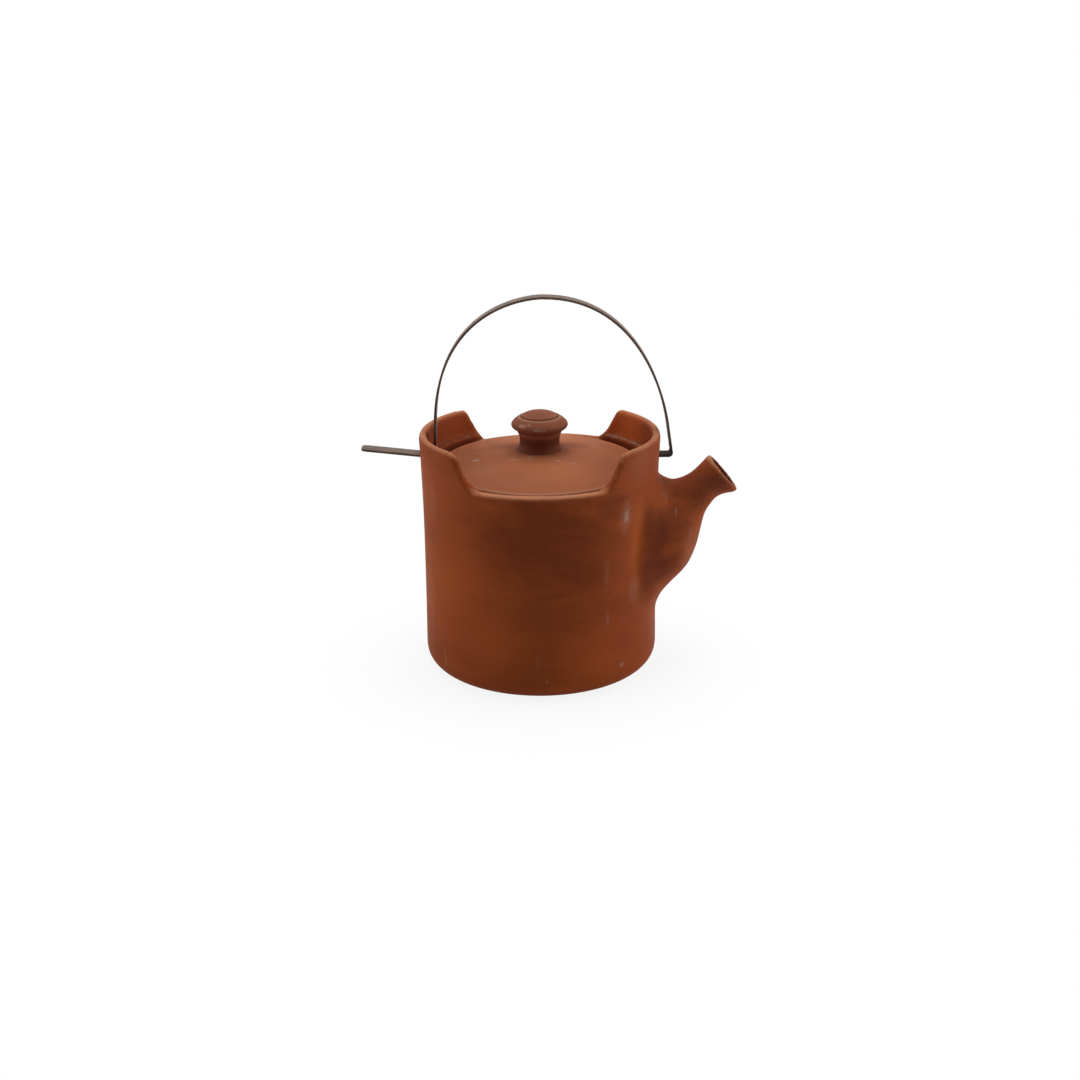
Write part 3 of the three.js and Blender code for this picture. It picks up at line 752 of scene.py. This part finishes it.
def lean(piece, above):
    """Tips and sinks whatever of the piece lies above a height: the real lid is lowest at the front."""
    alone(piece)
    bpy.ops.object.mode_set(mode="EDIT")
    bpy.ops.mesh.select_all(action="DESELECT")
    shape = bmesh.from_edit_mesh(piece.data)
    for vertex in shape.verts:
        vertex.select = vertex.co.z > above * MM
    shape.select_flush_mode()
    bmesh.update_edit_mesh(piece.data)
    bpy.ops.transform.rotate(value=-LID_LEAN, orient_axis="X", center_override=(0, 0, LEAN_CENTRE * MM))
    bpy.ops.transform.translate(value=(0, 0, -LID_SUNK * MM))
    bpy.ops.object.mode_set(mode="OBJECT")
    front = [v.co.z for v in piece.data.vertices if v.co.y < -50 * MM]
    back = [v.co.z for v in piece.data.vertices if v.co.y > 50 * MM]
    if front:
        print("edge from", round(max(front) / MM, 1), "mm in front to", round(max(back) / MM, 1), "behind")


lean(lid, LEAN_FROM)
bpy.ops.object.shade_smooth()

# %% [markdown]
# ## The knob
# The knob is a mushroom on a flared neck, with a sharp line under its cap and a ring scratched into its top.
# The ring and the line are only a millimetre wide, so the section has points close together there.

# %% Turn the knob
# The section's rows are radius and height above the lid, in mm
KNOB_FOOT = 120.97
KNOB_SECTION = [
    (0, -0.6), (11.5, -0.6), (13.0, 0.1), (12.3, 0.5), (11.75, 1.0), (11.3, 1.8), (10.95, 2.8),
    (10.75, 3.9), (10.7, 5.2), (10.78, 6.6), (10.95, 7.9), (11.25, 8.9), (11.65, 9.6), (11.95, 10.1),
    (12.05, 10.5), (11.95, 10.85), (11.75, 11.05), (11.95, 11.3), (12.8, 11.65), (13.8, 12.1),
    (14.7, 12.75), (15.2, 13.55), (15.28, 14.35), (15.0, 15.15), (14.4, 15.95), (13.4, 16.85),
    (12.3, 17.7), (11.4, 18.3), (10.65, 18.6), (10.2, 18.5), (9.95, 18.3), (9.8, 18.5), (9.6, 19.0),
    (9.1, 19.4), (8.2, 19.9), (7.0, 20.4), (5.4, 20.85), (3.6, 21.2), (1.8, 21.38), (0, 21.42)]
knob = turned("thrown_knob", [(radius, KNOB_FOOT + height) for radius, height in KNOB_SECTION], 72)
apply_modifier(knob, "SUBSURF", levels=1, render_levels=1)
lean(knob, 0)
bpy.ops.object.shade_smooth()
knob_top = max(vertex.co.z for vertex in knob.data.vertices)
print("knob:", len(knob.data.polygons), "faces, top at", round(knob_top / MM, 1), "mm")

# %% [markdown]
# ## The handle
# The handle is one strip of metal, bent by hand: a stub goes into the right lug, the strip rises on the
# outside of that lug, arches over, comes down inside the left lug and leaves through its hole as a long
# tail. A ribbon is drawn across the strip's width and extruded along its path. Solidify gives it thickness,
# and a bevel takes off the sharp edges.

# %% Lay out the strip's path
STRIP_WIDTH = 9.4
STRIP_THICKNESS = 1.2
BEND = 2.2
BEND_PULL = 0.6
BEND_POINTS = 8
ARCH_POINTS = 36
STUB_END = Vector((56.35, 0, 116.9))
RIGHT_FOOT = Vector((71.35, 0, 116.9))
RIGHT_SPRING = Vector((68.61, 0, 134.5))
ARCH_TOP = Vector((2.14, 0, 202.35))
LEFT_SPRING = Vector((-55.95, 0, 134.2))
LEFT_FOOT = Vector((-56.4, 0, 117.15))
TAIL_END = Vector((-96.1, 0, 121.5))


def toward(start, end, distance):
    """The point at a distance from the start, on the way to the end."""
    return start + (end - start).normalized() * distance


def bend(before, corner, after):
    """The points of a small round bend at a corner of the strip."""
    start, end = toward(corner, before, BEND), toward(corner, after, BEND)
    pulled = start.lerp(corner, BEND_PULL), end.lerp(corner, BEND_PULL)
    return interpolate_bezier(start, *pulled, end, BEND_POINTS)


def half_arch(spring, foot, rise, run):
    """From a leg up to the arch's top: the shares say how long the curve keeps the leg's direction."""
    low = spring + (spring - foot).normalized() * rise * (ARCH_TOP.z - spring.z)
    high = Vector((ARCH_TOP.x + (spring.x - ARCH_TOP.x) * run, 0, ARCH_TOP.z))
    return interpolate_bezier(spring, low, high, ARCH_TOP, ARCH_POINTS)


right_arch = half_arch(RIGHT_SPRING, RIGHT_FOOT, 0.168, 0.792)
left_arch = half_arch(LEFT_SPRING, LEFT_FOOT, 0.962, 0.097)
strip_path = [STUB_END, *bend(STUB_END, RIGHT_FOOT, RIGHT_SPRING), *right_arch, *left_arch[-2::-1],
              *bend(LEFT_SPRING, LEFT_FOOT, TAIL_END), TAIL_END]
print("strip:", round(sum((b - a).length for a, b in zip(strip_path, strip_path[1:]))), "mm long")

# %% Draw the ribbon
RIBBON_PARTS = 4

bpy.ops.object.select_all(action="DESELECT")
bpy.ops.mesh.primitive_plane_add(size=STRIP_WIDTH * MM, enter_editmode=True)
strip = bpy.context.object
shape = bmesh.from_edit_mesh(strip.data)
for vertex in shape.verts:
    vertex.co.x = strip_path[0].x * MM
    vertex.co.z = strip_path[0].z * MM
bmesh.update_edit_mesh(strip.data)
bpy.ops.mesh.select_all(action="SELECT")
bpy.ops.mesh.remove_doubles(threshold=MM / 1000)
bpy.ops.mesh.subdivide(number_cuts=RIBBON_PARTS - 1)
for before, after in zip(strip_path, strip_path[1:]):
    bpy.ops.mesh.extrude_region_move(TRANSFORM_OT_translate={"value": (after - before) * MM})
print("ribbon:", len(strip_path), "steps along its path")

# %% Round the tail's two corners, and give the strip its thickness
TAIL_ROUND = 3
EDGE_ROUND = 0.14

bpy.ops.mesh.select_all(action="DESELECT")
shape = bmesh.from_edit_mesh(strip.data)
for vertex in shape.verts:
    at_end = (vertex.co / MM - TAIL_END).length < STRIP_WIDTH * 0.6
    vertex.select = at_end and abs(vertex.co.y) > 0.49 * STRIP_WIDTH * MM
shape.select_flush_mode()
bmesh.update_edit_mesh(strip.data)
bpy.ops.mesh.bevel(offset=TAIL_ROUND * MM, segments=6, affect="VERTICES")
bpy.ops.object.mode_set(mode="OBJECT")
strip.name = strip.data.name = "bent_strip"
apply_modifier(strip, "SOLIDIFY", thickness=STRIP_THICKNESS * MM, offset=0, use_even_offset=True)
apply_modifier(strip, "BEVEL", width=EDGE_ROUND * MM, segments=2, angle_limit=math.radians(50))
bpy.ops.object.shade_smooth_by_angle(angle=math.radians(40))
print("strip:", len(strip.data.polygons), "faces")

# %% [markdown]
# ## Worn edges with painted highlights, and corners with painted shade
# Fired clay is paler where hands rub it. Here the pale edges also carry a painted highlight, strongest where
# they face up to the lamp above, and the corners are darkened with painted shade. Both follow the shape, so
# each clay piece gets an attribute that says how far a point stands out of the surface round it (above a
# half) or lies in a corner (below a half). The materials read it.

# %% Measure how far each point stands out
WEAR_AND_SHADE_REACH = 6
RUBBED_ANYWHERE = 0.12


def averaged(values, around, rounds):
    """Each value mixed with its neighbours' values, again and again."""
    for _ in range(rounds):
        values = [
            (value + sum(values[other] for other in others)) / (len(others) + 1)
            for value, others in zip(values, around)]
    return values


def mark_wear_light_and_shade(piece):
    """Stores 0.5 plus how convex the surface is, more where it faces up, averaged with its neighbours."""
    shape = bmesh.new()
    shape.from_mesh(piece.data)
    shape.normal_update()
    around = [[edge.other_vert(vertex).index for edge in vertex.link_edges] for vertex in shape.verts]
    points = [vertex.co.copy() for vertex in shape.verts]
    values = []
    for vertex, others in zip(shape.verts, around):
        lines = [(points[other] - vertex.co) for other in others]
        value = -sum(line.dot(vertex.normal) / line.length_squared for line in lines) / len(lines)
        # Edges that face up count more, as a painted highlight from the lamp above; RUBBED_ANYWHERE is the
        # share every convex edge keeps for wear
        upward = RUBBED_ANYWHERE + (1 - RUBBED_ANYWHERE) * max(0, vertex.normal.z) ** 3
        values.append(value * upward if value > 0 else value)
    shape.free()
    values = averaged(values, around, WEAR_AND_SHADE_REACH)
    attribute = piece.data.attributes.new("wear_light_and_shade", "FLOAT", "POINT")
    convexity = [min(1, max(0, 0.5 + value * MM)) for value in values]
    attribute.data.foreach_set("value", convexity)
    print(piece.name, "wear from", round(min(convexity), 2), "to", round(max(convexity), 2))


for clay_piece in (pot, lid, knob):
    mark_wear_light_and_shade(clay_piece)

# %% Mark the inside of the spout's mouth, for its painted shade
SPOUT_SHADE_ROUNDS = 3
SPOUT_SHADE_FROM = 78


def mark_inside(piece):
    """Stores 1 on surfaces that face the middle of the spout's channel near its mouth, and 0 elsewhere."""
    middles = []
    for share in shares[len(shares) // 2:]:
        upper_x, upper_z, lower_x, lower_z, _ = section_at(share)
        middles.append(Vector((upper_x + lower_x, 0, upper_z + lower_z)) / 2 * MM)
    inside = []
    around = [[] for _ in piece.data.vertices]
    for edge in piece.data.edges:
        one, two = edge.vertices
        around[one].append(two)
        around[two].append(one)
    for vertex in piece.data.vertices:
        if vertex.co.x < SPOUT_SHADE_FROM * MM:
            inside.append(0.0)
            continue
        middle = min(middles, key=lambda place: (vertex.co - place).length_squared)
        inside.append(1.0 if vertex.normal.dot(vertex.co - middle) < 0 else 0.0)
    inside = averaged(inside, around, SPOUT_SHADE_ROUNDS)
    piece.data.attributes.new("inside", "FLOAT", "POINT").data.foreach_set("value", inside)
    print(piece.name, "has", round(sum(inside)), "stained vertices")


mark_inside(pot)

# %% [markdown]
# ## Fired clay
# The clay is unglazed and a little burnished: a red brown that turns to orange where the fire was hotter,
# with fine level lines from throwing, small pores, rubbed edges and a few chalky scuffs. Light and shade are
# painted in as well: highlights on edges that face up, on the rim and on the spout, and shade in corners,
# inside the spout's mouth, on the spout and round the knob. All of it is built from noise in the piece's own
# place, so the lines are level on the wall and ring-shaped on the lid. Where a mark of the real pot has a
# place of its own, the noise only breaks up its edge.

# %% Mix the clay
CHALK = colour(184, 150, 136)
# Painted shade inside the spout's mouth
SPOUT_INSIDE_SHADE = colour(38, 24, 18)
PORE = colour(45, 20, 12)
# How dark the painted shade is, as a share of the deep colour
PAINTED_SHADE_SHARE = 0.35
CHALK_RAGGED = 5
LUGS_FROM = 33
LUGS_FULL = 39


def oval(place, centre, reach):
    """How far a place is from the centre of an oval, with its reach along X, Y and Z counted as 1."""
    return place.vector("SUBTRACT", centre).vector("DIVIDE", reach).vector("LENGTH", (0, 0, 0), 1)


def fired_clay(name, deep, warm, pale, dust, pale_spots, fire_and_shade_marks, rings=()):
    """Clay between a deep and a warm colour, pale on rubbed, highlit edges, with painted shade and its own
    marks.
    """
    material, shader, place = new_material(name)
    x, y, up = [place.add("SeparateXYZ", {}, {0: place}, axis) for axis in range(3)]
    across = (x * x + y * y) ** 0.5

    # Lines that run round the pot, clouds that are wider than high, and grain
    turning = place.add("CombineXYZ", {}, {0: across, 1: up, 2: (x + y) * 0.03})
    fine_lines = turning.noise(1.1, 3.0, 0.6)
    broad_lines = turning.noise(0.22, 2.0)
    level = place.add("CombineXYZ", {}, {0: x * 0.4, 1: y * 0.4, 2: up})
    clouds = level.noise(0.03, 2.0, 0.5)
    patches = level.noise(0.11, 4.0, 0.6)
    grain = place.noise(1.6, 3.0, 0.7)

    # How hot the fire was, which turns the clay orange, and how light the clay is, with painted shade from
    # some marks
    heat = clouds * 0.9 + patches * 0.35 + broad_lines * 0.12 - 0.22
    shade = 0.76 + fine_lines * 0.22 + grain * 0.18 + patches * 0.1
    for centre, reach, warmer, lighter in fire_and_shade_marks:
        near = (oval(place, centre, reach) + (patches - 0.5) * 0.8).rise(1, 0)
        heat = heat + near * warmer
        shade = shade + near * lighter
    clay = heat.rise(0, 1).blend(deep, warm)
    clay = clay.add("VectorMath", {"operation": "SCALE"}, {0: clay, 3: shade})

    # Rubbed edges with a painted highlight, painted shade in corners, and chalk, each as a share from 0 to 1
    wear_light_and_shade = place.add("Attribute", {"attribute_name": "wear_light_and_shade"}, {}, 2)
    # Pale on convex edges: rubbed wear, and a painted highlight where the edge faces up
    rubbed_and_highlit = wear_light_and_shade.rise(0.515, 0.575) * (0.4 + patches * 0.7)
    # Painted shade in corners and creases
    corner = wear_light_and_shade.rise(0.47, 0.36)
    marks = place.noise(0.45, 5.0, 0.75)
    chalk = marks.rise(0.66, 0.8) * 0.2 * dust
    for centre, reach, strength in pale_spots:
        ragged = oval(place, centre, reach) + (marks - 0.5) * 2.0
        chalk = chalk + ragged.rise(1.3, 0.3) * strength
    layers = {"rubbed_and_highlit": rubbed_and_highlit, "painted_shade": corner * 0.5, "chalk": chalk}
    on_lugs = (x * x).rise(LUGS_FROM ** 2, LUGS_FULL ** 2)
    sides = {"lugs": on_lugs, "notches": 1 - on_lugs, "all": 1}
    for layer, radius, height, reach, strength, side in rings:
        away = ((across - radius) ** 2 + (up - height) ** 2) ** 0.5
        ragged = away + (marks - 0.5) * (CHALK_RAGGED if layer == "chalk" else reach)
        broken = patches.rise(0.42, 0.62) if layer == "chalk" else 1
        near = ragged.rise(reach, reach * 0.35) * strength * broken * sides[side]
        layers[layer] = layers[layer] + near
    rubbed_and_highlit, painted_shade, chalk = layers.values()

    # One over the other, with the painted shade inside the spout below the chalk and the pores on top
    clay = (rubbed_and_highlit * 0.7).least(0.85).blend(clay, pale)
    clay = painted_shade.least(0.8).blend(clay, (*[part * PAINTED_SHADE_SHARE for part in deep[:3]], 1))
    spout_shaded = place.add("Attribute", {"attribute_name": "inside"}, {}, 2)
    clay = (spout_shaded * 0.85).blend(clay, SPOUT_INSIDE_SHADE)
    clay = chalk.least(0.8).blend(clay, CHALK)
    pores = place.add("TexVoronoi", {}, {"Vector": place, "Scale": 0.42, "Randomness": 1.0})
    pore = pores.rise(0.13, 0.05) * patches.rise(0.5, 0.62)
    clay = (pore * 0.5).blend(clay, PORE)

    # Chalk is duller than clay, and rubbed, highlit edges a little glossier
    relief = fine_lines * 0.5 + broad_lines * 0.6 + grain * 0.22 - pore * 0.9
    bump = place.add("Bump", {}, {"Strength": 0.55, "Distance": 0.22 * MM, "Height": relief})
    gloss = 0.56 + grain * 0.14 + chalk * 0.3 - rubbed_and_highlit * 0.1
    shader.inputs["Specular IOR Level"].default_value = 0.04
    wire_to(shader, Base_Color=clay, Roughness=gloss, Normal=bump)
    print(name, "has", len(clay.tree.nodes), "nodes")
    return material


# %% Say where the pot's own marks are
# A scuff is its centre, its reach along X, Y and Z in mm, and how chalky it is. A fire mark is its centre,
# its reach, how much warmer and how much lighter; where noted below, a darker fire mark is painted shade. A
# ring is the layer it belongs to, its radius, height and reach in mm, its strength, and the part of the rim
# that has it.
POT_SCUFFS_AND_HIGHLIGHT = [
    ((44.7, -46.1, 96.4), (2, 2, 3.6), 0.45), ((44.7, -46.1, 97), (5, 5, 10), 0.14),
    ((34.2, -54.3, 67.6), (1.8, 2, 10), 0.08), ((35, -53.8, 42.3), (1.4, 1.6, 5), 0.12),
    ((49.8, -40.5, 53.8), (5, 5, 9), 0.09), ((2.8, -64.1, 11.8), (1.2, 1.4, 1), 0.2),
    ((-1.8, -64, 23), (2, 2, 4), 0.05), ((-51.6, -37.8, 14), (0.9, 1.4, 6), 0.15),
    ((-60.5, -21, 42), (6, 9, 30), 0.06), ((-56.8, -30, 101), (5, 5, 12), 0.06),
    ((61, -18, 32), (7, 9, 24), 0.07), ((72.3, -22, 92.1), (0.7, 2, 4), 0.24),
    # The spot at (82, -22, 78) is a painted highlight on the spout's bulb, in the chalk colour
    ((82, -22, 78), (3, 4, 5), 0.12), ((84, -20, 66), (9, 10, 15), 0.12),
    ((68, -22, 101), (4, 6, 4), 0.25), ((92, -12, 102), (14, 14, 14), 0.05),
    ((43, -47.7, 14), (2.2, 2.2, 1.6), 0.3), ((50, -36, 124), (12, 12, 14), 0.06)]
POT_FIRE_AND_SHADE = [
    ((-42, -48, 48), (42, 42, 42), 0.4, -0.1), ((-50, -40, 86), (30, 30, 30), 0.3, -0.16),
    ((-22, -60, 32), (26, 26, 26), 0.3, 0.0), ((27, -58, 24), (26, 26, 26), 0.25, 0.02),
    # The marks from (61, -33, 73) to (98, -8, 104) make the spout's clay redder, and their darkening is
    # painted shade on the spout
    ((51, -38, 80), (8, 10, 30), 0.55, -0.02), ((61, -33, 73), (17, 15, 36), -0.5, -0.34),
    ((76, -25, 88), (17, 16, 26), -0.3, -0.26), ((71, -27, 61), (14, 13, 14), -0.3, -0.2),
    ((84, -18, 98), (22, 24, 18), -0.15, -0.38), ((98, -8, 104), (10, 16, 14), -0.2, -0.2),
    ((36, -54, 104), (20, 16, 12), -0.3, -0.1), ((50, 34, 124), (20, 20, 20), 0.5, 0.22),
    ((-46, 38, 124), (18, 18, 14), 0.2, 0.04), ((0, -64, 92), (44, 44, 44), -0.3, -0.06),
    ((26, -58, 74), (30, 20, 30), -0.1, -0.1)]
POT_RINGS = [
    # The two pale rings are painted highlights: a thin one on the inner edge of the rim in the notches, a
    # wide one over the rim's top
    ("rubbed_and_highlit", 58.4, 112.3, 0.8, 1.2, "notches"), ("rubbed_and_highlit", 61.8, 112.0, 3.0, 0.45, "notches"),
    # These two dark rings are painted shade on the inner faces and the shelf of the lugs
    ("painted_shade", 57.4, 112.8, 3.2, 0.6, "lugs"), ("painted_shade", 59.6, 115.8, 1.8, 0.5, "lugs"),
    ("chalk", 58.9, 116.0, 1.0, 0.38, "lugs")]
print("pot:", len(POT_SCUFFS_AND_HIGHLIGHT), "scuffs,", len(POT_FIRE_AND_SHADE), "fire marks and", len(POT_RINGS), "rings")

# %% Say where the marks of the lid and the knob are
LID_SCUFFS = [
    ((-34.6, -10.5, 118), (2.8, 1.8, 2), 0.8), ((-14.7, -16.8, 120.1), (5, 1.4, 1.5), 0.8),
    ((-14, -31.8, 118.6), (2.0, 1.7, 1.5), 0.95), ((-18.2, -29.8, 118.7), (1.4, 1.4, 1.5), 0.9),
    ((-10.3, -30.1, 118.8), (1.4, 1.4, 1.5), 0.9), ((18.5, -21.6, 119.5), (5, 1.6, 1.5), 0.95),
    ((9.6, -19.4, 120), (2.4, 1.3, 1.5), 0.7), ((-5.2, -15.2, 120.5), (2.4, 1.2, 1.5), 0.5),
    ((-12, -42, 116), (24, 6, 3), 0.07), ((-30, -28, 117), (10, 10, 4), 0.08)]
LID_FIRE_AND_SHADOW = [
    ((-40, 20, 116), (30, 30, 30), -0.3, -0.1), ((-28, -6, 119), (24, 24, 24), -0.1, -0.02),
    # The marks at (-18, 8, 120) and (18, 9, 120) are painted shadow of the knob on the lid
    ((16, -34, 117), (24, 24, 24), 0.2, 0.02), ((-18, 8, 120), (17, 11, 9), -0.25, -0.26),
    ((18, 9, 120), (16, 11, 9), -0.25, -0.26)]
# Pale bluish spots on the front of the knob's cap, mixed in with the chalk colour
KNOB_PALE_SPOTS = [
    ((-9.4, -11.5, 135.8), (2.4, 2.5, 1.1), 0.6), ((-5.5, -13, 136.6), (1.4, 2, 0.8), 0.3),
    ((-1.1, -15, 134.2), (2.6, 2, 1), 0.7), ((2.2, -15, 134), (1.4, 2, 0.9), 0.5)]
KNOB_FIRE = [((0, -10, 129.6), (16, 8, 3.6), 0.9, 0.12)]
# Both dark rings are painted shade: in the line under the knob's cap, and on its neck down to the foot
KNOB_RINGS = [("painted_shade", 11.8, 131.9, 1.2, 0.4, "all"), ("painted_shade", 10.9, 126.2, 3.2, 0.45, "all")]
print("lid:", len(LID_SCUFFS), "scuffs; knob:", len(KNOB_PALE_SPOTS), "scuffs and", len(KNOB_RINGS), "rings")

# %% Fire the three clays
pot_clay = fired_clay("pot_clay", colour(126, 58, 32), colour(160, 78, 35), colour(196, 136, 100),
                      0.4, POT_SCUFFS_AND_HIGHLIGHT, POT_FIRE_AND_SHADE, POT_RINGS)
lid_clay = fired_clay("lid_clay", colour(150, 86, 58), colour(176, 107, 72), colour(196, 144, 112),
                      0.7, LID_SCUFFS, LID_FIRE_AND_SHADOW)
knob_clay = fired_clay("knob_clay", colour(132, 74, 53), colour(157, 97, 72), colour(176, 134, 112),
                       0.6, KNOB_PALE_SPOTS, KNOB_FIRE, KNOB_RINGS)

# %% [markdown]
# ## Brown metal
# The strip is mild metal with a brown fired-on skin, satin rather than polished: it mirrors the white room on
# its upper side and goes nearly black where it faces the dark side. Fine scratches run along it, and where it
# passes through the right lug's hole and turns up outside it, painted shade darkens the skin.

# %% Mix the metal
metal, shader, place = new_material("brown_metal")
x, y, up = [place.add("SeparateXYZ", {}, {0: place}, axis) for axis in range(3)]
scratches = place.add("CombineXYZ", {}, {0: x * 0.05, 1: y * 3.0, 2: up * 0.05}).noise(1.0, 3.0, 0.6)
stain = place.noise(0.12, 4.0, 0.6)
speck = place.noise(1.4, 2.0, 0.6)
skin = (stain.rise(0.3, 0.72) * 0.7 + scratches * 0.3).blend(colour(64, 46, 34), colour(112, 86, 67))
skin = (speck.rise(0.62, 0.78) * 0.5).blend(skin, colour(36, 26, 20))
# Painted shade on the strip in and beside the right lug, which is also made rougher there
shaded_at_lug = x.rise(58, 66) * up.rise(126, 119)
skin = (shaded_at_lug * 0.85).blend(skin, colour(32, 24, 18))
satin = 0.34 + stain * 0.16 + scratches * 0.1 + shaded_at_lug * 0.3
grooves = place.add("Bump", {}, {"Strength": 0.3, "Distance": 0.05 * MM, "Height": scratches + speck * 0.4})
shader.inputs["Specular IOR Level"].default_value = 0.25
wire_to(shader, Base_Color=skin, Roughness=satin, Normal=grooves)
print("metal has", len(skin.tree.nodes), "nodes")

# %% [markdown]
# ## Hand the pieces to the frame
# Each piece takes its material, rides on the CAD body that carries it and hides the CAD nodes that it
# replaces, so that it moves with the lid or the handle when a joint moves.

# %% Ride and replace
for piece, finish, body, slot, nodes in [
        (pot, pot_clay, "pot", "clay", ("pot_body", "spout")),
        (lid, lid_clay, "lid", "pale_clay", ("lid",)),
        (knob, knob_clay, "lid", "clay", ("lid_knob",)),
        (strip, metal, "bail", "strip", ("bail_handle",))]:
    piece.data.materials.clear()
    piece.data.materials.append(finish)
    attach(piece, body)
    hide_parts(*nodes)
    print(piece.name, "rides on", body, "with", sum(len(face.vertices) - 2 for face in piece.data.polygons),
          "triangles")
